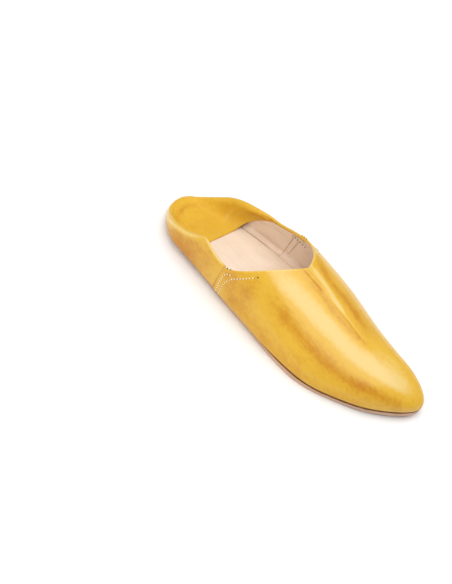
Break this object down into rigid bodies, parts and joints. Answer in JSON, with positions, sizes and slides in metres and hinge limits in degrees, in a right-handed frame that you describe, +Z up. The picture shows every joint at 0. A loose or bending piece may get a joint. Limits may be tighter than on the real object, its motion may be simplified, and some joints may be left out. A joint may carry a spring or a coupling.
{
  "type": "babouche slipper",
  "caption": "Right babouche slipper in soft golden leather with a pointed toe, flat leather sole and its back folded down inside.",
  "frame": {"origin": "middle of the footprint's bounding box, on the floor", "axes": "+X from the heel to the toe, +Y to the medial side of the right foot, +Z up"},
  "size_m": [0.2824, 0.0926, 0.0588],
  "materials": {
    "outsole": "matte",
    "insole": "matte",
    "upper": "satin",
    "heel_fold": "satin"
  },
  "bodies": {
    "root": {"outsole": "outsole", "insole": "insole", "upper": "upper", "heel_fold": "heel_fold"}
  },
  "joints": []
}
